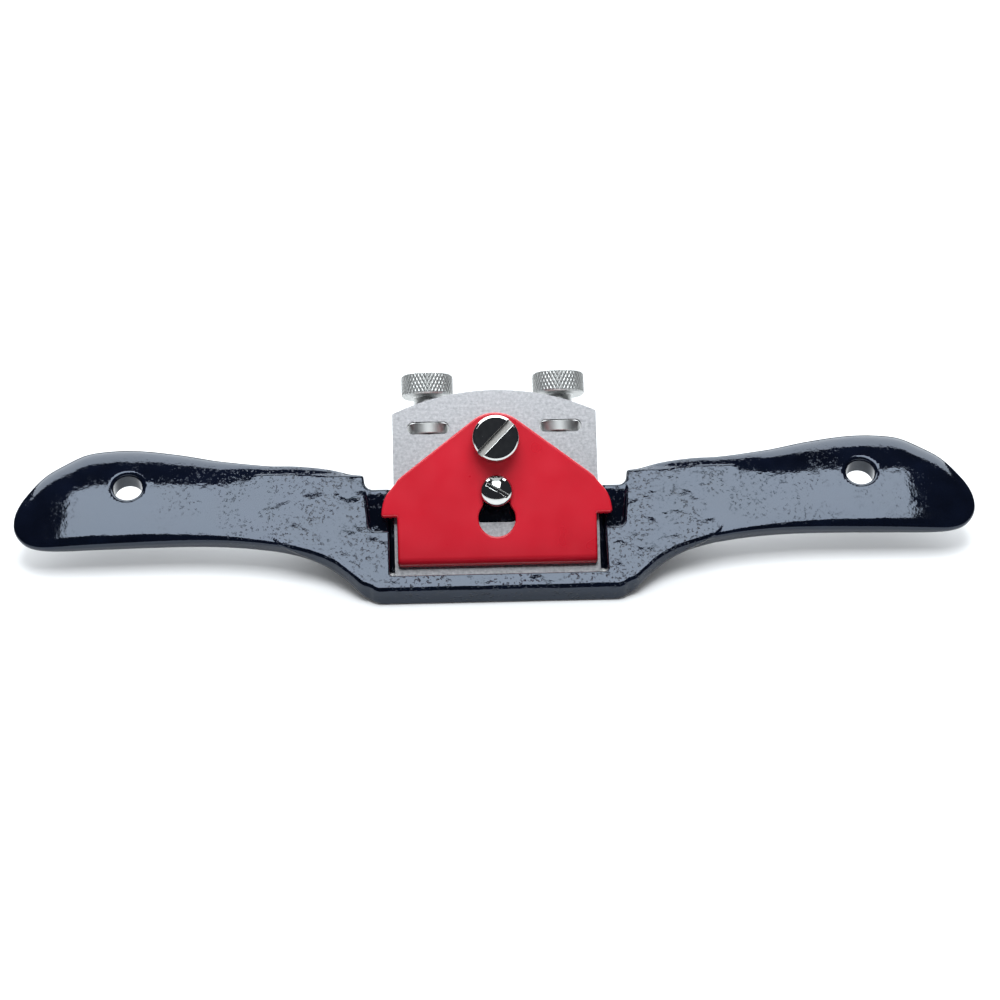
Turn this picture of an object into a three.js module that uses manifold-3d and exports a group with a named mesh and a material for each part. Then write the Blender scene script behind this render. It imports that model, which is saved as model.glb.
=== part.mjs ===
// A flat-faced metal spokeshave with an adjustable cutter. Millimetres, +Z up, +X along the
// handles, the toe of the sole towards -Y. The sole lies on Z = 0.
//
// Two slanted frames place everything. The face frame lies on the front of the casting: y runs
// up the slope towards the back and z out of the face. The cutter frame lies on the front face
// of the cutter: y runs from the cutting edge up to the adjusting nuts and z out of the steel.
import * as THREE from 'three';
import { mergeVertices } from 'three/addons/utils/BufferGeometryUtils.js';
import Module from 'manifold-3d';

// ---- driving dimensions -------------------------------------------------------------------
const FIT_GAP = 0.3; // clearance between neighbouring pieces

const FACE_SLOPE = THREE.MathUtils.degToRad(22.5);
const TOE_HEIGHT = 4.8; // of the upright front wall of the toe
const HALF_LENGTH = 127; // the tool is 254 mm long
const MIDDLE_HALF_WIDTH = 58; // where the block under the cutter has run out into the handles
// The wall behind the sole, as [y, z] upwards, and where it meets the face, as a distance up it.
const BACK_WALL = [[30, 0], [30.8, 3.5], [34.4, 12], [33.2, 16]];
const BACK_WALL_TOP = 34.6;
// The rounded corner of the toe in plan, as [x, y]. Beyond it the block's front follows the
// handles' front edge through these stations, set back from it a little.
const TOE_CORNER = [[30.8, 0], [32.4, 0.4], [33.6, 1.2]];
const BLOCK_PLAN_STATIONS = [36, 38.5, 42, 46, 51, MIDDLE_HALF_WIDTH];
const BLOCK_SETBACK = 0.15;

const BED_ANGLE = THREE.MathUtils.degToRad(45);
const CUTTER_EDGE = { y: 10.5, z: 0.2 };
const CUTTER = {
  halfWidth: 27, length: 50, cornerLength: 44, thickness: 1.8, bevelLength: 3.5, edgeThickness: 0.06,
};
const CUTTER_SLOT = { halfWidth: 6.25, low: 14.5, high: 27.5, corner: 2.5 };
const NOTCH = { x: 17.5, y: 40.1, halfLength: 5.6, halfHeight: 1.7 };

const THROAT_HALF_WIDTH = 28.4;
const MOUTH_FRONT_Y = 9;
const LIP = { y: 3.9, z: 6.42 };
const RECESS = {
  lowHalfWidth: 33.4, highHalfWidth: 36.6, low: 12.4, high: 42, floor: -1, corner: 1.6,
};
const CHEEK_TOP = 24.2; // where the bed beside the cutter ends
const CHEEK_STEP = 1; // how much further out the casting stays above it
const BED_TONGUE = { halfWidth: 25, low: 8, top: 36.5, back: -7.2, corner: 5 };

const HANG_HOLE = { x: 97.1, y: 33.3, radius: 3.8 };

const STUD = { radius: 2.1, low: 21, high: 52.6, depth: -5.8 };
const STUD_BOSS = { radius: 4.8, low: 16 };
const NUT = {
  flangeRadius: 6.4, flangeLow: 38.7, flangeHigh: 41.5, neckRadius: 3.6,
  headLow: 49.4, headHigh: 55.2, headRadius: 7, headEdge: 0.5,
};

const CAP = {
  halfWidth: 26.2, low: 3, back: 0.35, thickness: 2.6, tilt: 0.0625, corner: 0.8, roundness: 2.4,
};
const CAP_EAR = { halfWidth: 30.4, low: 16, wide: 20, high: 23.7, highHalfWidth: 28.6 };
const CAP_APEX = { halfWidth: 6.3, y: 40.6, top: 42.9 };
// The rounded corners of an ear, as steps from where its sides start and end being straight.
const CAP_EAR_LOW_CORNER = [[-0.9, 0.2], [0, 1.2]];
const CAP_EAR_HIGH_CORNER = [[0, 0], [-0.7, 2.2]];
// The rounded apex, as [x, drop below its top].
const CAP_APEX_CURVE = [[4.3, 1], [2.2, 0.2], [0, 0]];
const KEYHOLE = { y: 15.1, radius: 4.88, slotHalfWidth: 3.5, slotTop: 22.6 };

const CAP_SCREW = { y: 22, shankRadius: 2.4, headRadius: 4.1, headHeight: 3, tip: -9.4 };
// The dome of its head, as [share of the head's radius, height over its seat].
const CAP_SCREW_DOME = [[1, 0], [1, 0.9], [0.93, 1.6], [0.75, 2.3], [0.45, 2.8], [0, 3]];
const CAP_SCREW_SLOT = { width: 0.9, depth: 1.1, turn: THREE.MathUtils.degToRad(-31) };
const THUMB_SCREW = { y: 35.3, shankRadius: 2.6, headRadius: 6.1, headLow: 5.7, headHigh: 10.4 };
const THUMB_SCREW_CHAMFER = { tip: 0.6, head: 0.4 };
const THUMB_SCREW_SLOT = { width: 1.8, depth: 1.5, turn: THREE.MathUtils.degToRad(45) };

// Half of the casting's outline on the face, as [x, distance up the face].
const FRONT_EDGE = [
  [28, 1.5], [33, 1.6], [36, 2.3], [40, 6.2], [45, 9.9], [51, 12.4], [58, 14.4], [70, 16.1],
  [83, 16.7], [104, 16.4], [114, 15.9], [120, 14.9], [124, 13.8],
];
const BACK_EDGE = [
  [28, 35], [36, 35.8], [44, 38], [52, 39.2], [60, 39.7], [72, 41.9], [84, 44.7], [96, 46.4],
  [106, 45.9], [114, 43.6], [120, 42.7], [124, 41.1],
];
const TIP_START = 108; // the tips are rounded off from here
const TIP_CENTRE = 24.4;
// Half thickness of the casting and how square its back edge is, as [x, value].
const HALF_THICKNESS = [[28, 3.1], [50, 3.1], [64, 3.3], [92, 3.6], [112, 3.5], [120, 3.2]];
const BACK_SQUARENESS = [[28, 6], [52, 5], [66, 2.4], [120, 2.1]];
const FRONT_SQUARENESS = [[28, 5], [60, 4], [100, 3.4], [120, 2.6]];
const UNDERSIDE_SQUARENESS = 2.6;
// The underside of the middle, seen from the front, as [x, height]: it sweeps up to the handles.
const ROOT_CURVE = [[31, 0], [34, 0.9], [37.5, 3.2], [43, 5.6], [50, 8.4], [58, 13]];

const CASTING_STATIONS = [
  127, 126.6, 125.4, 123.4, 120, 115, 109, 102, 95, 88, 80, 72, 66, 61, 56, 51, 46, 42, 38.5,
  35.5, 32, 28,
];
const TIP_SHRINK = 0.05; // the last ring's share of the full section
const POINTS_AROUND = 28;
const ARC_SEGMENTS = 6; // facets along a rounded corner of an outline
const TURNED_SEGMENTS = 28; // facets round a turned piece
const ROUNDING_STEPS = [1, 0.62, 0.3, 0.08]; // shares of a rounding's depth that get an edge
const ARC_MIDDLE = 1 - Math.SQRT1_2; // how far in from a square corner the middle of its arc lies
const SLIGHT = 0.01; // keeps two arcs of an outline from meeting at one point
const WELD = 1e-4; // points closer than this are one point
const OVERSHOOT = 1; // how far a cut runs past the surface it starts from
const BEYOND = 70; // further than the solid being cut, in any direction

// ---- solids -------------------------------------------------------------------------------
const wasm = await Module();
wasm.setup();

function toSolid(geometry) {
  const bare = geometry.clone();
  bare.deleteAttribute('normal');
  bare.deleteAttribute('uv');
  const merged = mergeVertices(bare, WELD);
  return new wasm.Manifold(new wasm.Mesh({
    numProp: 3,
    vertProperties: new Float32Array(merged.attributes.position.array),
    triVerts: new Uint32Array(merged.index.array),
  }));
}

function toGeometry(solid) {
  const mesh = solid.getMesh();
  const geometry = new THREE.BufferGeometry();
  geometry.setAttribute('position', new THREE.BufferAttribute(mesh.vertProperties, 3));
  geometry.setIndex(new THREE.BufferAttribute(mesh.triVerts, 1));
  geometry.computeVertexNormals();
  return geometry;
}

const FACE_FRAME = new THREE.Matrix4().makeRotationX(FACE_SLOPE).setPosition(0, 0, TOE_HEIGHT);
const CUTTER_FRAME = new THREE.Matrix4()
  .makeRotationX(BED_ANGLE)
  .setPosition(0, CUTTER_EDGE.y, CUTTER_EDGE.z);
const UPRIGHT_FRAME = new THREE.Matrix4();

/** A plan outline in a frame's x and y, as thick as from low to high along its z. */
function plate(shape, low, high, frame = UPRIGHT_FRAME) {
  const geometry = new THREE.ExtrudeGeometry(shape, {
    depth: high - low, bevelEnabled: false, curveSegments: ARC_SEGMENTS,
  });
  return toSolid(geometry.translate(0, 0, low).applyMatrix4(frame));
}

/** A side profile in a frame's y and z, from -halfWidth to halfWidth along x. */
function slab(profile, halfWidth, frame = UPRIGHT_FRAME) {
  const shape = new THREE.Shape(profile.map(([y, z]) => new THREE.Vector2(y, z)));
  const geometry = new THREE.ExtrudeGeometry(shape, { depth: 2 * halfWidth, bevelEnabled: false });
  const turn = new THREE.Matrix4().makeBasis(
    new THREE.Vector3(0, 1, 0), new THREE.Vector3(0, 0, 1), new THREE.Vector3(1, 0, 0),
  );
  geometry.translate(0, 0, -halfWidth).applyMatrix4(turn);
  return toSolid(geometry.applyMatrix4(frame));
}

/** A turned profile of [radius, height] points; its axis is along a frame's y. */
function turned(profile) {
  return new THREE.LatheGeometry(
    profile.map(([radius, height]) => new THREE.Vector2(radius, height)), TURNED_SEGMENTS,
  );
}

/** The same, with its axis along the frame's z through the point (x, y). */
function turnedUpright(profile, x, y) {
  return turned(profile).rotateX(Math.PI / 2).translate(x, y, 0);
}

function rod(radius, low, high) {
  return [[0, low], [radius, low], [radius, high], [0, high]];
}

/** An outline symmetrical about x = 0, from its right half listed upwards. */
function mirrored(half) {
  const left = half.filter(([x]) => x !== 0).map(([x, y]) => [-x, y]).reverse();
  return new THREE.Shape([...half, ...left].map(([x, y]) => new THREE.Vector2(x, y)));
}

/** A rectangle with rounded corners, centred on (x, y). */
function roundedRectangle(x, y, halfWidth, halfHeight, corner) {
  const shape = new THREE.Shape();
  const arc = (sx, sy, start) => shape.absarc(
    x + sx * (halfWidth - corner), y + sy * (halfHeight - corner), corner,
    start, start + Math.PI / 2, false,
  );
  arc(1, -1, -Math.PI / 2);
  arc(1, 1, 0);
  arc(-1, 1, Math.PI / 2);
  arc(-1, -1, Math.PI);
  return shape;
}

/** The value at x of the smooth curve through [x, value] points. */
function along(points, x) {
  const last = points.length - 1;
  if (x <= points[0][0]) return points[0][1];
  if (x >= points[last][0]) return points[last][1];
  const i = points.findIndex(([at]) => at > x) - 1;
  const slope = (k) => {
    const low = points[Math.max(k - 1, 0)];
    const high = points[Math.min(k + 1, last)];
    return (high[1] - low[1]) / (high[0] - low[0]);
  };
  const width = points[i + 1][0] - points[i][0];
  const f = (x - points[i][0]) / width;
  return points[i][1] * (1 + 2 * f) * (1 - f) ** 2 + points[i + 1][1] * f * f * (3 - 2 * f)
    + slope(i) * width * f * (1 - f) ** 2 - slope(i + 1) * width * f * f * (1 - f);
}

// ---- body casting -------------------------------------------------------------------------
/** A point of the handle's skin: x along the tool, angle round the section, 0 to 1 outwards. */
function handlePoint(x, angle, outwards) {
  const past = Math.max(0, (x - TIP_START) / (HALF_LENGTH - TIP_START));
  const shrink = Math.max(Math.sqrt(Math.max(1 - past * past, 0)), TIP_SHRINK);
  const front = TIP_CENTRE + (along(FRONT_EDGE, x) - TIP_CENTRE) * shrink;
  const back = TIP_CENTRE + (along(BACK_EDGE, x) - TIP_CENTRE) * shrink;
  const halfChord = (back - front) / 2;
  const halfThickness = along(HALF_THICKNESS, x) * shrink;
  const across = Math.cos(angle);
  const up = Math.sin(angle);
  const topSquareness = along(across > 0 ? BACK_SQUARENESS : FRONT_SQUARENESS, x);
  const power = 2 / (up > 0 ? topSquareness : UNDERSIDE_SQUARENESS);
  return [
    (front + back) / 2 + outwards * halfChord * Math.sign(across) * Math.abs(across) ** power,
    outwards * halfThickness * Math.sign(up) * Math.abs(up) ** power - along(HALF_THICKNESS, x),
  ];
}

/** One handle with its wing, from a cylinder whose rings take the handle's sections. */
function handle(side) {
  const rows = CASTING_STATIONS.length - 1;
  const geometry = new THREE.CylinderGeometry(1, 1, 1, POINTS_AROUND, rows);
  const position = geometry.attributes.position;
  for (let i = 0; i < position.count; i += 1) {
    const row = Math.round((0.5 - position.getY(i)) * rows);
    const x = CASTING_STATIONS[side > 0 ? row : rows - row];
    const angle = Math.atan2(position.getX(i), position.getZ(i));
    const outwards = Math.hypot(position.getX(i), position.getZ(i)) > 0.5 ? 1 : 0;
    const [y, z] = handlePoint(x, angle, outwards);
    position.setXYZ(i, side * x, y, z);
  }
  return toSolid(geometry.applyMatrix4(FACE_FRAME));
}

/** The block between the handles: toe, sole, cheeks and the wedge under the bed. */
function middleBlock() {
  const onFace = (distance) => [
    distance * Math.cos(FACE_SLOPE), TOE_HEIGHT + distance * Math.sin(FACE_SLOPE),
  ];
  const side = slab([...BACK_WALL, onFace(BACK_WALL_TOP), onFace(0), [0, 0]], BEYOND);
  const underside = [
    [ROOT_CURVE[0][0], 0], ...ROOT_CURVE.slice(1), [MIDDLE_HALF_WIDTH, BEYOND],
  ];
  const stand = new THREE.Matrix4().makeBasis(
    new THREE.Vector3(-1, 0, 0), new THREE.Vector3(0, 0, 1), new THREE.Vector3(0, 1, 0),
  );
  const frontView = plate(mirrored(underside), 0, BEYOND).transform(stand.elements);
  const frontPlan = [[0, 0], ...TOE_CORNER];
  for (const x of BLOCK_PLAN_STATIONS) {
    frontPlan.push([x, (along(FRONT_EDGE, x) + BLOCK_SETBACK) * Math.cos(FACE_SLOPE)]);
  }
  const plan = plate(mirrored([...frontPlan, [MIDDLE_HALF_WIDTH, BEYOND]]), -OVERSHOOT, BEYOND);
  return side.intersect(frontView).intersect(plan);
}

/** What the cutter, the cap and the chips need clear, between the toe and the bed. */
function throat() {
  const bed = -CUTTER.thickness - FIT_GAP;
  const slope = Math.SQRT1_2;
  const onBed = (distance) => [
    CUTTER_EDGE.y + (distance - bed) * slope, CUTTER_EDGE.z + (distance + bed) * slope,
  ];
  const wallSlope = (MOUTH_FRONT_Y - LIP.y) / LIP.z;
  const onWall = (height) => [MOUTH_FRONT_Y - height * wallSlope, height];
  const profile = [
    onWall(-OVERSHOOT), onBed(-OVERSHOOT), onBed(BEYOND), [CUTTER_EDGE.y, BEYOND],
    onWall(LIP.z + OVERSHOOT),
  ];
  return slab(profile, THROAT_HALF_WIDTH);
}

/** The tongue that carries the cutter above the cheeks, with its top corners rounded. */
function tongue() {
  const { halfWidth, low, top, back, corner } = BED_TONGUE;
  const outline = new THREE.Shape();
  outline.moveTo(-halfWidth, low);
  outline.lineTo(halfWidth, low);
  outline.absarc(halfWidth - corner, top - corner, corner, 0, Math.PI / 2, false);
  outline.absarc(corner - halfWidth, top - corner, corner, Math.PI / 2, Math.PI, false);
  return plate(outline, back, RECESS.floor, CUTTER_FRAME);
}

/** A round bar or hole along the cutter's length, on the line of one adjusting stud. */
function onStudLine(side, radius, low, high) {
  const bar = turned(rod(radius, low, high)).translate(side * NOTCH.x, 0, STUD.depth);
  return toSolid(bar.applyMatrix4(CUTTER_FRAME));
}

/** A round hole across one of the slanted frames. */
function crossHole(radius, x, y, frame) {
  return toSolid(turnedUpright(rod(radius, -BEYOND, BEYOND), x, y).applyMatrix4(frame));
}

function bodyCasting() {
  const { low, lowHalfWidth, high, highHalfWidth, floor, corner } = RECESS;
  const upperRecess = mirrored([
    [lowHalfWidth - corner, low],
    [lowHalfWidth - corner * ARC_MIDDLE, low + corner * ARC_MIDDLE],
    [lowHalfWidth, low + corner], [highHalfWidth, high],
  ]);
  const beyondCheeks = mirrored([
    [lowHalfWidth + CHEEK_STEP, CHEEK_TOP], [highHalfWidth, high],
  ]);
  let body = middleBlock().add(handle(1)).add(handle(-1));
  body = body.subtract(plate(beyondCheeks, -BEYOND, BEYOND, CUTTER_FRAME)).add(tongue());
  for (const side of [-1, 1]) {
    body = body.add(onStudLine(side, STUD_BOSS.radius, STUD_BOSS.low, BED_TONGUE.top));
  }
  body = body.subtract(throat()).subtract(plate(upperRecess, floor, BEYOND, CUTTER_FRAME));
  for (const side of [-1, 1]) {
    const stud = onStudLine(
      side, STUD.radius + FIT_GAP, STUD.low - FIT_GAP, BED_TONGUE.top + OVERSHOOT,
    );
    const hang = crossHole(HANG_HOLE.radius, side * HANG_HOLE.x, HANG_HOLE.y, FACE_FRAME);
    body = body.subtract(stud).subtract(hang);
  }
  const screwHole = crossHole(CAP_SCREW.shankRadius + FIT_GAP, 0, CAP_SCREW.y, CUTTER_FRAME);
  return toGeometry(body.subtract(screwHole));
}

// ---- pieces in the cutter frame -----------------------------------------------------------
function cutterBlade() {
  const arcDrop = CUTTER.length - CUTTER.cornerLength;
  const arcRadius = (CUTTER.halfWidth ** 2 + arcDrop ** 2) / (2 * arcDrop);
  const arcHalfAngle = Math.asin(CUTTER.halfWidth / arcRadius);
  const outline = new THREE.Shape();
  outline.moveTo(-CUTTER.halfWidth, 0);
  outline.lineTo(CUTTER.halfWidth, 0);
  outline.absarc(0, CUTTER.length - arcRadius, arcRadius,
    Math.PI / 2 - arcHalfAngle, Math.PI / 2 + arcHalfAngle, false);
  const slotHeight = (CUTTER_SLOT.high - CUTTER_SLOT.low) / 2;
  outline.holes.push(roundedRectangle(
    0, CUTTER_SLOT.low + slotHeight, CUTTER_SLOT.halfWidth, slotHeight, CUTTER_SLOT.corner,
  ));
  for (const side of [-1, 1]) {
    outline.holes.push(roundedRectangle(
      side * NOTCH.x, NOTCH.y, NOTCH.halfLength, NOTCH.halfHeight, NOTCH.halfHeight - SLIGHT,
    ));
  }
  const steel = plate(outline, -CUTTER.thickness, 0);
  const { bevelLength, edgeThickness, thickness } = CUTTER;
  const ground = slab([
    [-OVERSHOOT, OVERSHOOT], [0, -edgeThickness], [bevelLength, -thickness],
    [bevelLength, -thickness - OVERSHOOT], [BEYOND, -thickness - OVERSHOOT], [BEYOND, OVERSHOOT],
  ], CUTTER.halfWidth + OVERSHOOT);
  return toGeometry(steel.intersect(ground));
}

/** The height of the lever cap's front over the cutter, at y. */
function capFront(y) {
  return capBack(y) + CAP.thickness;
}

function capBack(y) {
  return CAP.back + CAP.tilt * (y - CAP.low);
}

function leverCap() {
  const outline = mirrored([
    [CAP.halfWidth - CAP.corner, CAP.low], [CAP.halfWidth, CAP.low + CAP.corner],
    [CAP.halfWidth, CAP_EAR.low],
    ...CAP_EAR_LOW_CORNER.map(([x, y]) => [CAP_EAR.halfWidth + x, CAP_EAR.low + y]),
    ...CAP_EAR_HIGH_CORNER.map(([x, y]) => [CAP_EAR.halfWidth + x, CAP_EAR.wide + y]),
    [CAP_EAR.highHalfWidth, CAP_EAR.high], [CAP_APEX.halfWidth, CAP_APEX.y],
    ...CAP_APEX_CURVE.map(([x, drop]) => [x, CAP_APEX.top - drop]),
  ]);
  const top = CAP_APEX.top + OVERSHOOT;
  const profile = [[CAP.low, capBack(CAP.low)], [top, capBack(top)], [top, capFront(top)]];
  for (const share of ROUNDING_STEPS) {
    const y = CAP.low + CAP.roundness * share;
    profile.push([y, capFront(y) - CAP.roundness * (1 - Math.sqrt(1 - (1 - share) ** 2))]);
  }
  let cap = plate(outline, -OVERSHOOT, BEYOND);
  cap = cap.intersect(slab(profile, CAP_EAR.halfWidth + OVERSHOOT));
  const { y, radius, slotHalfWidth, slotTop } = KEYHOLE;
  const neckHalf = (slotTop + slotHalfWidth - y) / 2;
  const neck = roundedRectangle(0, y + neckHalf, slotHalfWidth, neckHalf, slotHalfWidth - SLIGHT);
  cap = cap.subtract(plate(neck, -BEYOND, BEYOND));
  cap = cap.subtract(crossHole(radius, 0, y, UPRIGHT_FRAME));
  const tapped = crossHole(THUMB_SCREW.shankRadius + FIT_GAP, 0, THUMB_SCREW.y, UPRIGHT_FRAME);
  return toGeometry(cap.subtract(tapped));
}

/** Cuts a screwdriver slot across the top of a screw. */
function slotted(geometry, y, top, slot, radius) {
  const cutter = new THREE.BoxGeometry(2 * (radius + OVERSHOOT), slot.width, 2 * slot.depth)
    .rotateZ(slot.turn)
    .translate(0, y, top);
  return toGeometry(toSolid(geometry).subtract(toSolid(cutter)));
}

function capScrew() {
  const { y, shankRadius, headRadius, headHeight, tip } = CAP_SCREW;
  const seat = capFront(y + headRadius) + FIT_GAP;
  const dome = CAP_SCREW_DOME.map(([share, height]) => [share * headRadius, seat + height]);
  const screw = turnedUpright([[0, tip], [shankRadius, tip], [shankRadius, seat], ...dome], 0, y);
  return slotted(screw, y, seat + headHeight, CAP_SCREW_SLOT, headRadius);
}

function thumbScrew() {
  const { y, shankRadius, headRadius, headLow, headHigh } = THUMB_SCREW;
  const { tip, head } = THUMB_SCREW_CHAMFER;
  const screw = turnedUpright([
    [0, FIT_GAP], [shankRadius - tip, FIT_GAP], [shankRadius, FIT_GAP + tip],
    [shankRadius, headLow], [headRadius, headLow], [headRadius, headHigh - head],
    [headRadius - head, headHigh], [0, headHigh],
  ], 0, y);
  return slotted(screw, y, headHigh, THUMB_SCREW_SLOT, headRadius);
}

function adjustingNut(side) {
  const bore = STUD.radius + FIT_GAP;
  const ring = turned([
    [bore, NUT.flangeLow], [NUT.flangeRadius, NUT.flangeLow], [NUT.flangeRadius, NUT.flangeHigh],
    [NUT.neckRadius, NUT.flangeHigh], [NUT.neckRadius, NUT.headLow],
    [NUT.headRadius - NUT.headEdge, NUT.headLow], [NUT.headRadius, NUT.headLow + NUT.headEdge],
    [NUT.headRadius, NUT.headHigh - NUT.headEdge], [NUT.headRadius - NUT.headEdge, NUT.headHigh],
    [bore, NUT.headHigh], [bore, NUT.flangeLow],
  ]);
  return ring.translate(side * NOTCH.x, 0, STUD.depth);
}

function adjustingStud(side) {
  return turned(rod(STUD.radius, STUD.low, STUD.high)).translate(side * NOTCH.x, 0, STUD.depth);
}

// ---- the tool -----------------------------------------------------------------------------
const enamel = new THREE.MeshStandardMaterial({ color: 0x14171f, roughness: 0.2, metalness: 0.1 });
const redEnamel = new THREE.MeshStandardMaterial({ color: 0xc81e2d, roughness: 0.35, metalness: 0 });
const groundSteel = new THREE.MeshStandardMaterial({ color: 0xcdced2, roughness: 0.4, metalness: 1 });
const nickel = new THREE.MeshStandardMaterial({ color: 0xc4c6c8, roughness: 0.2, metalness: 1 });

function piece(name, geometry, material) {
  const mesh = new THREE.Mesh(geometry, material);
  mesh.name = name;
  return mesh;
}

const onCutter = new THREE.Group();
onCutter.position.set(0, CUTTER_EDGE.y, CUTTER_EDGE.z);
onCutter.rotation.x = BED_ANGLE;
onCutter.add(
  piece('cutter_blade', cutterBlade(), groundSteel),
  piece('lever_cap', leverCap(), redEnamel),
  piece('lever_cap_screw', capScrew(), nickel),
  piece('lever_cap_thumb_screw', thumbScrew(), nickel),
);
for (const [word, side] of [['left', -1], ['right', 1]]) {
  onCutter.add(
    piece(`${word}_adjusting_nut`, adjustingNut(side), nickel),
    piece(`${word}_adjusting_stud`, adjustingStud(side), nickel),
  );
}

const spokeshave = new THREE.Group();
spokeshave.add(piece('body_casting', bodyCasting(), enamel), onCutter);
spokeshave.updateMatrixWorld(true);
const extent = new THREE.Box3().setFromObject(spokeshave, true);
spokeshave.position.set(0, -(extent.min.y + extent.max.y) / 2, -extent.min.z);

export default spokeshave;
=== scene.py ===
"""The looks of a flat-faced metal spokeshave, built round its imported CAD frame.

Shapes are worked out in millimetres in three frames and stored in metres in the row frame:
the upright frame (x along the handles, b back from the toe, u up), the face frame (x, t up the
slope of the casting's face, n out of it) and the cutter frame (x, s from the cutting edge up
the cutter, c out of its front). The casting, the cap and the screws are signed-distance
fields, because those give real fillets where surfaces meet. The nuts and studs are surfaces
of revolution, and the cutter is a flat outline given its thickness.
"""
import math

import bmesh
import bpy
import numpy as np
from mathutils import Matrix, Vector


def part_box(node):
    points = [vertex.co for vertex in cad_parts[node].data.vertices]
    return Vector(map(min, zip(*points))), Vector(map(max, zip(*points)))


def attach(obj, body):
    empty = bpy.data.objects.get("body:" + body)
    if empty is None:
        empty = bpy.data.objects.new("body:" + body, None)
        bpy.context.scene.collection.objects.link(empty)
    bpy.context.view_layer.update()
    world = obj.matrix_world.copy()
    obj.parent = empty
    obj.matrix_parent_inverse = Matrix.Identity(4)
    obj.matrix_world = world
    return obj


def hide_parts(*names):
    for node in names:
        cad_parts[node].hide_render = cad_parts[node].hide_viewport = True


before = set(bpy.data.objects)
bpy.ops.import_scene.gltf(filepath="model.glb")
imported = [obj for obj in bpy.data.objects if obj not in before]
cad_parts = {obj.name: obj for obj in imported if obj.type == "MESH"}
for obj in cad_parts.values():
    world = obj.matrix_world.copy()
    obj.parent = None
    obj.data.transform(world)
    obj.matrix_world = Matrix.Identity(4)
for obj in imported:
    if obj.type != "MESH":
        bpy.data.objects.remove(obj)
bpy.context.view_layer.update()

MM = 0.001

# ---- places, from the frame ----------------------------------------------------------------
CASTING_LOW, CASTING_HIGH = (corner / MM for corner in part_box("body_casting"))
TOE_Y = CASTING_LOW.y
HALF_LENGTH = CASTING_HIGH.x
BLADE_HALF_WIDTH = (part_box("cutter_blade")[1] / MM).x

# ---- driving dimensions, mm ----------------------------------------------------------------
# An entry named edge, corner, fillet or rim is the radius that rounds that place.
FACE_SLOPE = math.radians(22.5)
TOE_HEIGHT = 4.8
BED_ANGLE = math.radians(45)
EDGE_B, EDGE_U = 10.5, 0.2  # the cutting edge, in the upright frame
CLEARANCE = 0.3

# The handles and wings. Each list is (x, value), and the outline's values are along t.
FRONT_EDGE = [
    (28, 1.5), (33, 1.6), (36, 2.3), (40, 6.2), (45, 9.9), (51, 12.4), (58, 14.4), (70, 16.1),
    (83, 16.7), (104, 16.4), (114, 15.9), (120, 14.9), (124, 13.8),
]
BACK_EDGE = [
    (28, 35), (36, 35.8), (44, 38), (52, 39.2), (60, 39.7), (72, 41.9), (84, 44.7), (96, 46.4),
    (106, 45.9), (114, 43.6), (120, 42.7), (124, 41.1),
]
TIP_START, TIP_CENTRE = 108, 24.4
HALF_THICKNESS = [(28, 3.1), (50, 3.1), (64, 3.3), (92, 3.6), (112, 3.5), (120, 3.2)]
BACK_SQUARENESS = [(28, 6), (56, 5.5), (64, 4.2), (76, 2.5), (120, 2.1)]
FRONT_SQUARENESS = [(28, 5), (56, 9), (66, 7), (84, 4.2), (100, 3.4), (120, 2.6)]
UNDERSIDE_SQUARENESS = 2.6
SMALLEST_SECTION = 0.05
FACE_RELEASE = [(66, 0), (78, 1)]  # how far the flat face plane lifts clear of the handles
RIM_ROUNDING = [(44, 0.7), (54, 0.08)]

# The block between the handles. The root is its underside, as (x, u), and the back wall (b, u).
ROOT_CURVE = [
    (27, -1.5), (31, 0), (34, 0.9), (37.5, 3.2), (43, 5.6), (50, 8.4), (58, 13), (64, 19), (74, 32),
]
BACK_WALL = [(30, 0), (30.8, 3.5), (34.4, 12), (33.2, 16), (31.96, 18.04)]
TOE_CORNER = [(0, 0), (30.8, 0), (32.4, 0.4), (33.6, 1.2)]
WING_PLAN_AT = (36, 38.5, 42, 46, 51, 58, 70, 120)
BLOCK_DRAWS_BACK = [(48, -3), (58, 0.9), (68, 5)]
BLOCK = dict(setback=0.15, heel_corner=2.0, root_edge=1.2, front_edge=1.0)
WING_FILLET, TOE_EDGE, SOLE_EDGE = 3.0, 1.0, 0.25
SOLE_SKIN = 0.03  # what lies lower than this is ground bare

# The mouth, the bed and the holes.
THROAT = dict(front=9, lip_b=3.9, lip_u=6.42, bed=2.1, half=28.4, corner=0.8, edge=0.35)
RECESS = dict(
    low_half=33.4, high_half=36.6, low=12.4, high=42, floor=-1, corner=1.6, fillet=0.6, edge=0.7,
)
CHEEK = dict(top=24.2, half=34.4, splay=0.12, corner=2.0, edge=0.8)
TONGUE = dict(half=25, low=8, top=36.5, back=-7.2, corner=5, edge=1.0, fillet=1.5)
BOSS = dict(radius=4.8, low=16, edge=0.5, fillet=1.2)
HANG_HOLE = dict(x=97.1, t=33.3, radius=3.8, edge=1.2)
BORE_EDGE = 0.3

CAP = dict(
    half=26.2, low=3, back=0.35, thick=2.6, tilt=0.0625,
    corner=0.5, notch_fillet=0.4, nose=2.2, rim=0.75, back_rim=0.25,
)
EAR = dict(
    half=30.4, low=16, wide=20, high=23.7, high_half=28.6,
    high_corner=3.0, side_corner=2.0, low_corner=0.9,
)
APEX = dict(x=6.3, s=40.6, top=42.9)
KEYHOLE = dict(s=15.1, radius=4.88, neck=3.5, neck_top=22.6, fillet=0.4, edge=0.45)

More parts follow.
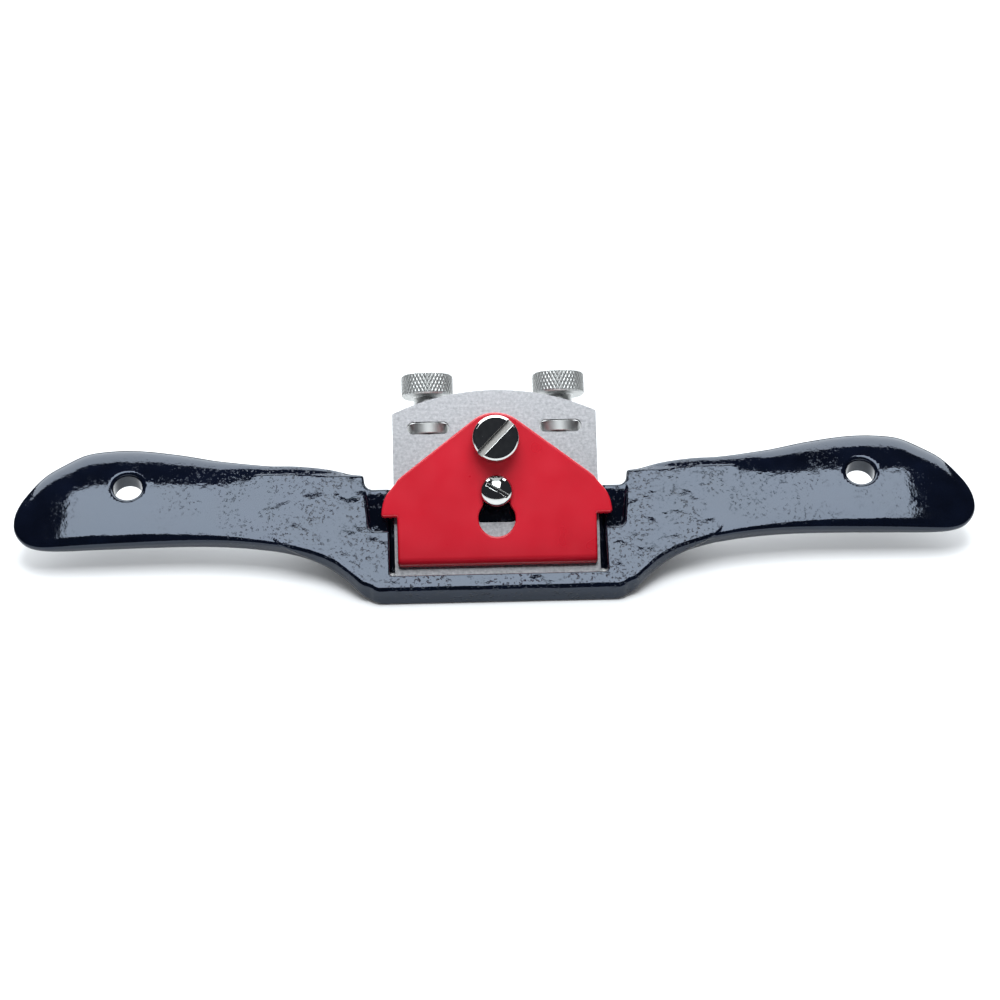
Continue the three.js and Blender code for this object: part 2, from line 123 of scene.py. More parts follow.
CAP_SCREW = dict(
    s=22, shank=2.4, head=4.2, height=3, side=1.0, tip=-9.4, edge=0.2, tip_edge=0.3, relief=0.1,
)
CAP_SCREW_SEAT = (
    CAP["back"] + CAP["tilt"] * (CAP_SCREW["s"] + CAP_SCREW["head"] - CAP["low"])
    + CAP["thick"] + CLEARANCE
)
CAP_SLOT = dict(width=0.9, depth=1.1, turn=math.radians(-31), edge=0.12)
THUMB = dict(
    s=35.3, shank=2.6, head=6.1, low=5.7, high=10.4, chamfer=0.55, edge=0.1, chamfer_edge=0.12,
    low_edge=0.3, tip_edge=0.4, hole_edge=0.2,
)
THUMB_SLOT = dict(width=1.8, depth=1.5, turn=math.radians(45), edge=0.1)
HEAD_FILLET, SHANK_INTO_HEAD = 0.25, 0.5
THREAD_PITCH, THREAD_DEPTH = 0.8, 0.42
THREAD_FLAT = 0.1  # of half a pitch, at the crest and at the root

STUD = dict(x=17.5, depth=-5.8, radius=2.1, low=21, high=52.6, end_bevel=0.5, core=0.02)
STUD_BORE = STUD["radius"] + CLEARANCE
NUT = dict(
    flange=6.4, flange_low=38.7, flange_high=41.5, neck=3.6, low=49.4, high=55.2, head=6.93,
    edge=0.18, fillet=0.3, mouth=0.2, end_bevel=0.45, dish=0.1, lip=(0.5, 0.9), rim=0.7, face=1.5,
)
KNURL = dict(count=44, height=2.0, depth=0.18, flat=1.3, samples=12)

BLADE = dict(length=50, corner=44, thick=1.8, bevel=3.5, edge=0.06, broken_edge=0.18)
BLADE_SLOT = dict(half=6.25, low=14.5, high=27.5, corner=2.5)
NOTCH = dict(x=17.5, s=40.1, half=5.6, tall=1.7)
WELD = 1e-4

# ---- mesh sizes, mm ------------------------------------------------------------------------
CASTING_STEP, HANDLE_STEP, CAP_STEP, CAP_SCREW_STEP, THUMB_STEP = 0.46, 0.72, 0.26, 0.12, 0.14
MARGIN = 0.4  # how far a screw's field is sampled past its shape
FINE_TO, COARSE_FROM, COARSE_TO = 60, 60.2, 128.5  # the casting's two grids, out from its middle
CASTING_T, CASTING_N = (-4, 48), (-18, 6)
CAP_X, CAP_S, CAP_C = (-31, 31), (2, 44), (-0.4, 7)
SLOT_WALL_SKIN, SLOT_FLOOR_SKIN = 0.02, 0.1  # what counts as a slot's own faces


# ---- frames --------------------------------------------------------------------------------
FACE_FRAME = Matrix.Translation((0, TOE_Y, TOE_HEIGHT)) @ Matrix.Rotation(FACE_SLOPE, 4, "X")
CUTTER_FRAME = Matrix.Translation((0, TOE_Y + EDGE_B, EDGE_U)) @ Matrix.Rotation(BED_ANGLE, 4, "X")


def from_face(t, n):
    """The upright b and u of a point of the face frame."""
    cos, sin = math.cos(FACE_SLOPE), math.sin(FACE_SLOPE)
    return t * cos - n * sin, TOE_HEIGHT + t * sin + n * cos


def to_cutter(b, u):
    """The cutter frame's s and c of an upright point."""
    cos, sin = math.cos(BED_ANGLE), math.sin(BED_ANGLE)
    back, up = b - EDGE_B, u - EDGE_U
    return back * cos + up * sin, up * cos - back * sin


def stud_line(side):
    """A frame whose z runs along one adjusting stud."""
    to_stud = Matrix.Translation((side * STUD["x"], 0, STUD["depth"]))
    return CUTTER_FRAME @ to_stud @ Matrix.Rotation(-math.pi / 2, 4, "X")


# ---- fields: negative inside, in mm --------------------------------------------------------
def meet(a, b, radius):
    """What is inside both, with the edge between them rounded."""
    outside = np.hypot(np.maximum(a + radius, 0), np.maximum(b + radius, 0))
    return np.minimum(np.maximum(a, b), -radius) + outside


def join(a, b, radius):
    """What is inside either, with a fillet where they meet."""
    return -meet(-a, -b, radius)


def cut(a, tool, radius):
    """What is inside a and outside tool, with the new edge rounded."""
    return meet(a, -tool, radius)


def along(points, x):
    """The smooth curve through (x, value) points, read at every x."""
    at, value = np.array(points, float).T
    slope = np.gradient(value, at)
    slope[1:-1] = (value[2:] - value[:-2]) / (at[2:] - at[:-2])
    x = np.clip(x, at[0], at[-1])
    i = np.clip(np.searchsorted(at, x, side="right") - 1, 0, len(at) - 2)
    width = at[i + 1] - at[i]
    f = (x - at[i]) / width
    rise = value[i] * (1 + 2 * f) * (1 - f) ** 2 + value[i + 1] * f * f * (3 - 2 * f)
    return rise + width * f * (1 - f) * (slope[i] * (1 - f) - slope[i + 1] * f)


def wall(b, u, start, end):
    """Distance out of the wall from start up to end, with the solid in front of it."""
    db, du = end[0] - start[0], end[1] - start[1]
    return ((b - start[0]) * du - (u - start[1]) * db) / math.hypot(db, du)


def handle_field(x, t, n):
    """One handle with its wing: superellipse sections that end in a rounded tip."""
    past = np.clip((x - TIP_START) / (HALF_LENGTH - TIP_START), 0, None)
    front, back = along(FRONT_EDGE, x), along(BACK_EDGE, x)
    chord, thick = (back - front) / 2, along(HALF_THICKNESS, x)
    closing = 1 - np.minimum(past, 1) ** 2
    across = (t - TIP_CENTRE - ((back + front) / 2 - TIP_CENTRE) * closing) / chord
    up = (n + thick) / thick
    top = np.where(across > 0, along(BACK_SQUARENESS, x), along(FRONT_SQUARENESS, x))
    power = np.where(up > 0, top, UNDERSIDE_SQUARENESS)
    a, w = np.maximum(np.abs(across), 1e-6), np.maximum(np.abs(up), 1e-6)
    size = np.maximum((a ** power + w ** power) ** (1 / power), SMALLEST_SECTION)
    steep = size ** (1 - power) * np.hypot(a ** (power - 1) / chord, w ** (power - 1) / thick)
    total = np.hypot(size, past)
    slope = np.hypot(size * steep, past / (HALF_LENGTH - TIP_START)) / total
    return (total - 1) / slope


def front_plan(x):
    """How far back the casting's front stands, at x."""
    wing = [
        (at, (float(along(FRONT_EDGE, at)) + BLOCK["setback"]) * math.cos(FACE_SLOPE))
        for at in WING_PLAN_AT
    ]
    return np.maximum(along(TOE_CORNER + wing, x), 0)


def block_field(x, b, u):
    """The block between the handles, open above, where the face plane ends it."""
    heel, rise, *bed = [wall(b, u, *ends) for ends in zip(BACK_WALL, BACK_WALL[1:])]
    heel = join(heel, rise, BLOCK["heel_corner"])
    for face in bed:
        heel = meet(heel, face, BLOCK["heel_corner"])
    front = front_plan(x) + along(BLOCK_DRAWS_BACK, x) - b
    under = meet(along(ROOT_CURVE, x) - u, heel, BLOCK["root_edge"])
    return meet(under, front, BLOCK["front_edge"])


def seat_field(x, s, c):
    """The tongue behind the cutter, with a boss for each stud."""
    corner = TONGUE["corner"]
    over_x, over_s = x - TONGUE["half"] + corner, s - TONGUE["top"] + corner
    plan = np.hypot(np.maximum(over_x, 0), np.maximum(over_s, 0))
    plan = plan + np.minimum(np.maximum(over_x, over_s), 0) - corner
    plan = np.maximum(plan, TONGUE["low"] - s)
    plate = meet(plan, np.maximum(c - RECESS["floor"], TONGUE["back"] - c), TONGUE["edge"])
    boss = np.hypot(x - STUD["x"], c - STUD["depth"]) - BOSS["radius"]
    boss = meet(boss, np.maximum(s - TONGUE["top"], BOSS["low"] - s), BOSS["edge"])
    return join(plate, boss, BOSS["fillet"])


def throat_field(x, b, u, c):
    """The mouth in front of the cutter, with the bed that the cutter lies on as its back."""
    lean = (THROAT["front"] - THROAT["lip_b"]) / THROAT["lip_u"]
    toe_wall = (THROAT["front"] - lean * u - b) / math.hypot(1, lean)
    return meet(
        np.maximum(toe_wall, -THROAT["bed"] - c), x - THROAT["half"], THROAT["corner"],
    )


def recess_field(x, s, c):
    """The shallow recess round the cutter and the cap's ears, wider towards its top."""
    splay = (RECESS["high_half"] - RECESS["low_half"]) / (RECESS["high"] - RECESS["low"])
    side = x - RECESS["low_half"] - splay * (s - RECESS["low"])
    plan = meet(side, RECESS["low"] - s, RECESS["corner"])
    return meet(plan, RECESS["floor"] - c, RECESS["fillet"])


def casting_field(x, t, n):
    """The whole body casting, in the face frame."""
    x = np.abs(x)
    b, u = from_face(t, n)
    s, c = to_cutter(b, u)
    body = join(handle_field(x, t, n), block_field(x, b, u), WING_FILLET)
    open_front = meet(n - along(FACE_RELEASE, x), front_plan(x) - b, TOE_EDGE)
    body = meet(body, open_front, along(RIM_ROUNDING, x))

    past_cheek = x - CHEEK["half"] - CHEEK["splay"] * (s - CHEEK["top"])
    body = cut(body, meet(CHEEK["top"] - s, past_cheek, CHEEK["corner"]), CHEEK["edge"])
    body = join(body, seat_field(x, s, c), TONGUE["fillet"])
    body = cut(body, throat_field(x, b, u, c), THROAT["edge"])
    body = cut(body, recess_field(x, s, c), RECESS["edge"])

    stud = np.hypot(x - STUD["x"], c - STUD["depth"]) - STUD_BORE
    body = cut(body, np.maximum(stud, STUD["low"] - CLEARANCE - s), BORE_EDGE)
    cap_screw = np.hypot(x, s - CAP_SCREW["s"]) - CAP_SCREW["shank"] - CLEARANCE
    body = cut(body, cap_screw, BORE_EDGE)
    hang = np.hypot(x - HANG_HOLE["x"], t - HANG_HOLE["t"]) - HANG_HOLE["radius"]
    body = cut(body, hang, HANG_HOLE["edge"])
    return meet(body, -u, SOLE_EDGE)


def cap_slope(x, s):
    """Distance out of the cap's two sloping sides, which run into a round apex."""
    lean = math.hypot(EAR["high_half"] - APEX["x"], APEX["s"] - EAR["high"])
    out_x, out_s = (APEX["s"] - EAR["high"]) / lean, (EAR["high_half"] - APEX["x"]) / lean
    slope = (x - APEX["x"]) * out_x + (s - APEX["s"]) * out_s
    peak = APEX["s"] + APEX["x"] * out_x / out_s
    round_off = (peak - APEX["top"]) / (1 / out_s - 1)
    centre = peak - round_off / out_s
    at_apex = (x * out_s < (s - centre) * out_x) & (s > centre)
    return np.where(at_apex, np.hypot(x, s - centre) - round_off, slope)


def cap_field(x, s, c):
    """The lever cap: a plate with two ears, a rounded apex and a keyhole."""
    x = np.abs(x)
    slope = cap_slope(x, s)
    taper = wall(x, s, (EAR["half"], EAR["wide"]), (EAR["high_half"], EAR["high"]))
    ears = meet(slope, taper, EAR["high_corner"])
    ears = meet(ears, x - EAR["half"], EAR["side_corner"])
    ears = meet(ears, EAR["low"] - s, EAR["low_corner"])
    plate = meet(slope, x - CAP["half"], CAP["corner"])
    outline = join(ears, plate, CAP["notch_fillet"])

    back = CAP["back"] + CAP["tilt"] * (s - CAP["low"])
    front = meet(c - back - CAP["thick"], CAP["low"] - s, CAP["nose"])
    body = meet(outline, front, CAP["rim"])
    body = meet(body, back - c, CAP["back_rim"])

    key = np.hypot(x, s - KEYHOLE["s"]) - KEYHOLE["radius"]
    neck_s = np.clip(s, KEYHOLE["s"], KEYHOLE["neck_top"])
    neck = np.hypot(x, s - neck_s) - KEYHOLE["neck"]
    body = cut(body, join(key, neck, KEYHOLE["fillet"]), KEYHOLE["edge"])
    thumb = np.hypot(x, s - THUMB["s"]) - THUMB["shank"] - CLEARANCE
    return cut(body, thumb, THUMB["hole_edge"])


def thread_groove(height, turn):
    """How deep a right-handed thread cuts at a height, a given part of a turn round."""
    wave = np.abs((height / THREAD_PITCH - turn) % 1 - 0.5) * 2
    return THREAD_DEPTH * np.clip((wave - THREAD_FLAT) / (1 - 2 * THREAD_FLAT), 0, 1)


def threaded(x, y, z, radius):
    """A round bar with a thread."""
    turn = np.arctan2(y, x) / (2 * math.pi)
    return np.hypot(x, y) - radius + thread_groove(z, turn)


def slot_across(x, y, slot):
    """Distance from the middle of a screwdriver slot."""
    return np.abs(y * math.cos(slot["turn"]) - x * math.sin(slot["turn"]))


def slot_field(x, y, z, top, slot):
    """A screwdriver slot cut down from the top of a head."""
    return np.maximum(slot_across(x, y, slot) - slot["width"] / 2, top - slot["depth"] - z)


def cap_screw_field(x, y, z):
    """The domed screw that holds the lever cap, about its own axis."""
    screw, radial, seat = CAP_SCREW, np.hypot(x, y), CAP_SCREW_SEAT
    top, drop = seat + screw["height"], screw["height"] - screw["side"]
    dome_radius = (screw["head"] ** 2 + drop ** 2) / (2 * drop)
    dome = np.sqrt(x * x + y * y + (z - top + dome_radius) ** 2) - dome_radius
    head = meet(radial - screw["head"], dome, screw["edge"])
    head = meet(head, seat - z, screw["edge"])
    plain = radial - screw["shank"] + screw["relief"]
    shank = np.where(z > 0, plain, threaded(x, y, z, screw["shank"]))
    ends = np.maximum(screw["tip"] - z, z - seat - SHANK_INTO_HEAD)
    whole = join(head, meet(shank, ends, screw["tip_edge"]), HEAD_FILLET)
    return cut(whole, slot_field(x, y, z, top, CAP_SLOT), CAP_SLOT["edge"])


def thumb_screw_field(x, y, z):
    """The large screw that presses the cap's top off the cutter, about its own axis."""
    screw, radial = THUMB, np.hypot(x, y)
    chamfer = radial - screw["head"] + z - screw["high"] + screw["chamfer"]
    head = meet(radial - screw["head"], z - screw["high"], screw["edge"])
    head = meet(head, chamfer * math.sqrt(0.5), screw["chamfer_edge"])
    head = meet(head, screw["low"] - z, screw["low_edge"])
    ends = np.maximum(CLEARANCE - z, z - screw["low"] - SHANK_INTO_HEAD)
    shank = meet(threaded(x, y, z, screw["shank"]), ends, screw["tip_edge"])
    slot = slot_field(x, y, z, screw["high"], THUMB_SLOT)
    return cut(join(head, shank, HEAD_FILLET), slot, THUMB_SLOT["edge"])


# ---- meshes from fields --------------------------------------------------------------------
def slopes(field, points, reach=0.02):
    """The field's gradient at each point, by central differences."""
    out = np.empty_like(points)
    for axis in range(3):
        shift = np.zeros(3)
        shift[axis] = reach
        ahead, behind = field(*(points + shift).T), field(*(points - shift).T)
        out[:, axis] = (ahead - behind) / (2 * reach)
    return out


def sample(field, axes, slab=24):
    """The field's value at every grid point, worked out a slab at a time to save memory."""
    y, z = axes[1][None, :, None], axes[2][None, None, :]
    return np.concatenate([
        np.broadcast_to(field(part[:, None, None], y, z), (len(part), y.size, z.size))
        for part in np.array_split(axes[0], max(1, len(axes[0]) // slab))
    ])


def net(field, axes):
    """A quad mesh of the field's zero surface: one vertex in each cell that it crosses."""
    value = sample(field, axes)
    inside = value < 0
    shape = np.array(value.shape)
    corners = np.array(np.meshgrid([0, 1], [0, 1], [0, 1], indexing="ij")).reshape(3, -1).T
    filled = sum(
        inside[tuple(slice(o, o + size - 1) for o, size in zip(offset, shape))].astype(np.int8)
        for offset in corners
    )
    cells = np.argwhere((filled > 0) & (filled < 8))
    index = np.full(shape - 1, -1)
    index[tuple(cells.T)] = np.arange(len(cells))

    total, hits = np.zeros((len(cells), 3)), np.zeros(len(cells))
    for axis in range(3):
        step = np.eye(3, dtype=int)[axis]
        for offset in corners[corners[:, axis] == 0]:
            start = cells + offset
            end = start + step
            v0, v1 = value[tuple(start.T)], value[tuple(end.T)]
            crossed = (v0 < 0) != (v1 < 0)
            share = np.where(crossed, v0 / np.where(crossed, v0 - v1, 1), 0)[:, None]
            p0 = np.stack([axes[k][start[:, k]] for k in range(3)], 1)
            p1 = np.stack([axes[k][end[:, k]] for k in range(3)], 1)
            total += np.where(crossed[:, None], p0 + (p1 - p0) * share, 0)
            hits += crossed
    points = total / hits[:, None]

    faces = []
    for axis in range(3):
        u, v = np.eye(3, dtype=int)[(axis + 1) % 3], np.eye(3, dtype=int)[(axis + 2) % 3]
        low = np.take(inside, range(shape[axis] - 1), axis)
        high = np.take(inside, range(1, shape[axis]), axis)
        edges = np.argwhere(low != high)
        ring = [index[tuple((edges - d).T)] for d in (u + v, v, 0 * u, u)]
        quads = np.stack(ring, 1)
        outward = low[tuple(edges.T)]
        faces.append(np.where(outward[:, None], quads, quads[:, ::-1]))
    return points, np.concatenate(faces)


def settle(field, points, step, rounds=4, flattest=0.05):
    """Moves the points onto the field's zero surface, by at most half a step each round."""
    for _ in range(rounds):
        slope = slopes(field, points)
        length = np.maximum((slope ** 2).sum(1), flattest)
        move = slope * (field(*points.T) / length)[:, None]
        size = np.maximum(np.linalg.norm(move, axis=1), 1e-9)
        points = points - move * np.minimum(1, step / 2 / size)[:, None]
    return points


def spread(low, high, step):
    """Sample places from low to high, evenly about the middle."""
    count = int(math.ceil((high - low) / step)) + 1
    return (low + high) / 2 + (np.arange(count) - (count - 1) / 2) * step


# ---- meshes of pieces ----------------------------------------------------------------------
def to_row(points, place):
    """Points of a frame, in mm, as row-frame points in metres."""
    turn = np.array(place.to_3x3())
    return (points @ turn.T + np.array(place.translation)) * MM


def mesh_from(name, points, faces, place, normals=None):
    """A smooth mesh of points in a frame, with their normals if these are known."""
    mesh = bpy.data.meshes.new(name)
    mesh.from_pydata(to_row(points, place), [], faces.tolist())
    mesh.validate()
    mesh.shade_smooth()
    if normals is not None:
        turned = normals @ np.array(place.to_3x3()).T
        turned /= np.linalg.norm(turned, axis=1)[:, None]
        mesh.normals_split_custom_set_from_vertices(turned)
    return mesh


def field_mesh(name, field, axes, place):
    """The mesh of a field, with the field's own normals for its shading."""
    points, faces = net(field, axes)
    step = min(axis[1] - axis[0] for axis in axes)
    points = settle(field, points, step)
    return mesh_from(name, points, faces, place, slopes(field, points))


def lathe(name, rows, columns, place):
    """A closed tube of revolution: rows of (radius by column, height) that end where they start."""
    angle = 2 * math.pi * np.arange(columns) / columns
    points = []
    for radius, height in rows:
        ring = np.broadcast_to(radius, columns)
        points.append(np.stack(
            [ring * np.cos(angle), ring * np.sin(angle), np.full(columns, height)], 1,
        ))
    count = len(rows)
    row, column = np.meshgrid(np.arange(count), np.arange(columns), indexing="ij")
    here, right = row * columns + column, row * columns + (column + 1) % columns
    above = ((row + 1) % count) * columns
    faces = np.stack([here, right, above + (column + 1) % columns, above + column], -1)
    return mesh_from(name, np.concatenate(points), faces.reshape(-1, 4), place)


def knurled_rows(low, high, columns):
    """Rows of a diamond-knurled rim: two crossed families of grooves, bevelled at the ends."""
    around = np.arange(columns) * KNURL["count"] / columns
    steps = int(round((high - low) / (KNURL["height"] / KNURL["samples"])))
    rows = []
    for k in range(steps + 1):
        height = low + (high - low) * k / steps
        rise = height / KNURL["height"]
        ridge = [1 - np.abs(2 * ((around + sign * rise) % 1) - 1) for sign in (1, -1)]
        crest = np.clip(np.minimum(*ridge) * KNURL["flat"], 0, 1)
        radius = NUT["head"] - KNURL["depth"] * (1 - crest)
        limit = NUT["head"] - NUT["end_bevel"] + min(height - low, high - height)
        rows.append((np.minimum(radius, limit), height))
    return rows


def nut_mesh(name, side):
    """An adjusting nut: flange in the cutter's notch, neck, and knurled head."""
    columns = KNURL["count"] * KNURL["samples"]
    low, high, head, neck = NUT["low"], NUT["high"], NUT["head"], NUT["neck"]
    flange, flange_low, flange_high = NUT["flange"], NUT["flange_low"], NUT["flange_high"]
    edge, fillet, mouth = NUT["edge"], NUT["fillet"], NUT["mouth"]
    up_to_head = [
        (STUD_BORE, high - fillet), (STUD_BORE, flange_low + mouth),
        (STUD_BORE + mouth, flange_low), (flange - edge, flange_low),
        (flange, flange_low + edge), (flange, flange_high - edge),
        (flange - edge, flange_high), (neck + fillet, flange_high),
        (neck, flange_high + fillet), (neck, low - fillet),
        (neck + fillet, low), (head - NUT["rim"], low),
    ]
    # The end face falls slightly towards the bore, which has a narrow lip round its mouth.
    lip_top, lip_foot = NUT["lip"]
    end_face = [
        (head - NUT["face"] / 2, high), (head - NUT["face"], high),
        (STUD_BORE + lip_foot, high - NUT["dish"]), (STUD_BORE + lip_top, high),
        (STUD_BORE + fillet, high),
    ]
    rows = up_to_head + knurled_rows(low, high, columns) + end_face
    mesh = lathe(name, rows, columns, stud_line(side))
    mesh.set_sharp_from_angle(angle=math.radians(40))
    return mesh


def stud_mesh(name, side, columns=36, rows_per_turn=8):
    """An adjusting stud with its thread, closed at both ends round a hair-thin core."""
    low, high = STUD["low"], STUD["high"]
    turn = np.arange(columns) / columns
    steps = int((high - low) / THREAD_PITCH * rows_per_turn)
    rows = [(STUD["core"], low)]
    for k in range(steps + 1):
        height = low + (high - low) * k / steps
        radius = STUD["radius"] - thread_groove(height, turn)
        limit = STUD["radius"] - STUD["end_bevel"] + min(height - low, high - height)
        rows.append((np.minimum(radius, limit), height))
    rows.append((STUD["core"], high))
    return lathe(name, rows, columns, stud_line(side))


def rounded_rectangle(x, y, half_x, half_y, corner, segments=10):
    """The outline of a rectangle about (x, y) with arcs for corners."""
    points = []
    for quarter, (sx, sy) in enumerate([(1, -1), (1, 1), (-1, 1), (-1, -1)]):
        for k in range(segments + 1):
            angle = math.pi / 2 * (quarter - 1 + k / segments)
            points.append((
                x + sx * (half_x - corner) + corner * math.cos(angle),
                y + sy * (half_y - corner) + corner * math.sin(angle),
            ))
    return points


def blade_outlines(arch_steps=48):
    """The cutter's outline with its arched top, then its slot and its two notches."""
    rise = BLADE["length"] - BLADE["corner"]
    radius = (BLADE_HALF_WIDTH ** 2 + rise ** 2) / (2 * rise)
    half_angle = math.asin(BLADE_HALF_WIDTH / radius)
    outer = [(-BLADE_HALF_WIDTH, 0), (BLADE_HALF_WIDTH, 0)]
    for k in range(arch_steps + 1):
        angle = half_angle * (1 - 2 * k / arch_steps)
        outer.append((
            radius * math.sin(angle), BLADE["length"] - radius + radius * math.cos(angle),
        ))
    low, high = BLADE_SLOT["low"], BLADE_SLOT["high"]
    slot = rounded_rectangle(
        0, (low + high) / 2, BLADE_SLOT["half"], (high - low) / 2, BLADE_SLOT["corner"],
    )
    notches = [
        rounded_rectangle(
            side * NOTCH["x"], NOTCH["s"], NOTCH["half"], NOTCH["tall"], NOTCH["tall"] - 0.01,
        )
        for side in (-1, 1)
    ]
    return [outer, slot, *notches]


def as_mesh(step):
    """The mesh that an object comes to. The object is only a step on the way, and is removed."""
    bpy.context.scene.collection.objects.link(step)
    graph = bpy.context.evaluated_depsgraph_get()
    mesh = bpy.data.meshes.new_from_object(step.evaluated_get(graph))
    bpy.data.objects.remove(step)
    return mesh


def blade_plate(name):
    """The cutter's outline filled and given its thickness, in the cutter frame."""
    curve = bpy.data.curves.new(name, "CURVE")
    curve.dimensions = "2D"
    curve.fill_mode = "BOTH"
    curve.extrude = BLADE["thick"] / 2
    for outline in blade_outlines():
        spline = curve.splines.new("POLY")
        spline.points.add(len(outline) - 1)
        for point, (x, y) in zip(spline.points, outline):
            point.co = (x, y, 0, 1)
        spline.use_cyclic_u = True
    return as_mesh(bpy.data.objects.new(name, curve))


def grind_bevel(mesh):
    """Cleans up the plate and grinds its bevel, on the back, down to the cutting edge."""
    form = bmesh.new()
    form.from_mesh(mesh)
    bmesh.ops.remove_doubles(form, verts=form.verts, dist=WELD)
    for vert in form.verts:
        vert.co.z -= BLADE["thick"] / 2
    bmesh.ops.dissolve_limit(
        form, angle_limit=math.radians(1), verts=form.verts, edges=form.edges,
    )
    bmesh.ops.bisect_plane(
        form, geom=form.verts[:] + form.edges[:] + form.faces[:], dist=WELD,
        plane_co=(0, BLADE["bevel"], 0), plane_no=(0, 1, 0),
    )
    for vert in form.verts:
        if vert.co.z < -BLADE["thick"] / 2 and vert.co.y < 10 * WELD:
            vert.co.z = -BLADE["edge"]
    bmesh.ops.recalc_face_normals(form, faces=form.faces)
    form.to_mesh(mesh)
    form.free()


def blade_mesh(name):
    """The cutter, with its ground bevel and all its sharp edges broken."""
    mesh = blade_plate(name)
    grind_bevel(mesh)
    mesh.transform(CUTTER_FRAME)
    mesh.transform(Matrix.Scale(MM, 4))
    sharp = bpy.data.objects.new(name, mesh)
    bevel = sharp.modifiers.new("broken_edges", "BEVEL")
    bevel.width = BLADE["broken_edge"] * MM
    bevel.segments = 2
    bevel.limit_method = "ANGLE"
    bevel.angle_limit = math.radians(50)
    return as_mesh(sharp)


# ---- materials -----------------------------------------------------------------------------
def place_of(matrix):
    """A frame's origin, in metres, and its turn, for a Mapping node."""
    return [v * MM for v in matrix.translation], list(matrix.to_euler())


class Finish:
    """A Principled material with short calls for the nodes that feed it."""

    def __init__(self, name, place=None, **sockets):
        self.material = bpy.data.materials.new(name)
        self.material.use_nodes = True
        self.tree = self.material.node_tree
        self.shader = self.tree.nodes["Principled BSDF"]
        for socket, value in sockets.items():
            self.shader.inputs[socket.replace("_", " ")].default_value = value
        coordinates = self.tree.nodes.new("ShaderNodeTexCoord")
        self.where = coordinates.outputs["Object"]
        if place is not None:
            mapping = self.tree.nodes.new("ShaderNodeMapping")
            mapping.vector_type = "TEXTURE"
            mapping.inputs["Location"].default_value = place[0]
            mapping.inputs["Rotation"].default_value = place[1]
            self.link(self.where, mapping.inputs["Vector"])
            self.where = mapping.outputs["Vector"]

    def link(self, source, target):
        """Joins one node's output to another's input."""
        self.tree.links.new(source, target)

    def feed(self, socket, source):
        """Drives one of the shader's sockets."""
        self.link(source, self.shader.inputs[socket])

    def noise(self, size_mm, detail=2.0, roughness=0.5, stretch=None):
        """Noise with features of about size_mm, or drawn out by stretch along each axis."""
        node = self.tree.nodes.new("ShaderNodeTexNoise")
        node.inputs["Scale"].default_value = 1 / (size_mm * MM)
        node.inputs["Detail"].default_value = detail
        node.inputs["Roughness"].default_value = roughness
        where = self.where
        if stretch is not None:
            squeeze = self.tree.nodes.new("ShaderNodeMapping")
            squeeze.inputs["Scale"].default_value = [1 / s for s in stretch]
            self.link(where, squeeze.inputs["Vector"])
            where = squeeze.outputs["Vector"]
        self.link(where, node.inputs["Vector"])
        return node.outputs["Fac"]

    def by_reach(self, near_mm, far_mm):
        """1 up to near_mm either side of the middle, falling to 0 by far_mm."""
        split = self.tree.nodes.new("ShaderNodeSeparateXYZ")
        self.link(self.where, split.inputs["Vector"])
        reach = self.tree.nodes.new("ShaderNodeMath")
        reach.operation = "ABSOLUTE"
        self.link(split.outputs["X"], reach.inputs[0])
        fade = self.tree.nodes.new("ShaderNodeMapRange")
        fade.inputs["From Min"].default_value = far_mm * MM
        fade.inputs["From Max"].default_value = near_mm * MM
        self.link(reach.outputs[0], fade.inputs["Value"])
        return fade.outputs["Result"]

    def ramp(self, source, stops):
        """A colour or grey that follows source through (place, colour) stops."""
        node = self.tree.nodes.new("ShaderNodeValToRGB")
        ramp = node.color_ramp
        while len(ramp.elements) < len(stops):
            ramp.elements.new(0.5)
        for element, (at, colour) in zip(ramp.elements, stops):
            element.position = at
            grey = (colour,) * 3 if isinstance(colour, (int, float)) else colour
            element.color = (*grey, 1)
        self.link(source, node.inputs["Fac"])
        return node.outputs["Color"]

    def multiply(self, a, b):
        """The product of two colours or greys."""
        node = self.tree.nodes.new("ShaderNodeMix")
        node.data_type = "RGBA"
        node.blend_type = "MULTIPLY"
        node.inputs["Factor"].default_value = 1.0
        self.link(a, node.inputs["A"])
        self.link(b, node.inputs["B"])
        return node.outputs["Result"]

    def bump(self, source, height_mm, strength=1.0, under=None):
        """Relief over any relief under it. The last call is what the shader shows."""
        node = self.tree.nodes.new("ShaderNodeBump")
        node.inputs["Distance"].default_value = height_mm * MM
        node.inputs["Strength"].default_value = strength
        self.link(source, node.inputs["Height"])
        if under is not None:
            self.link(under, node.inputs["Normal"])
        self.feed("Normal", node.outputs["Normal"])
        return node.outputs["Normal"]


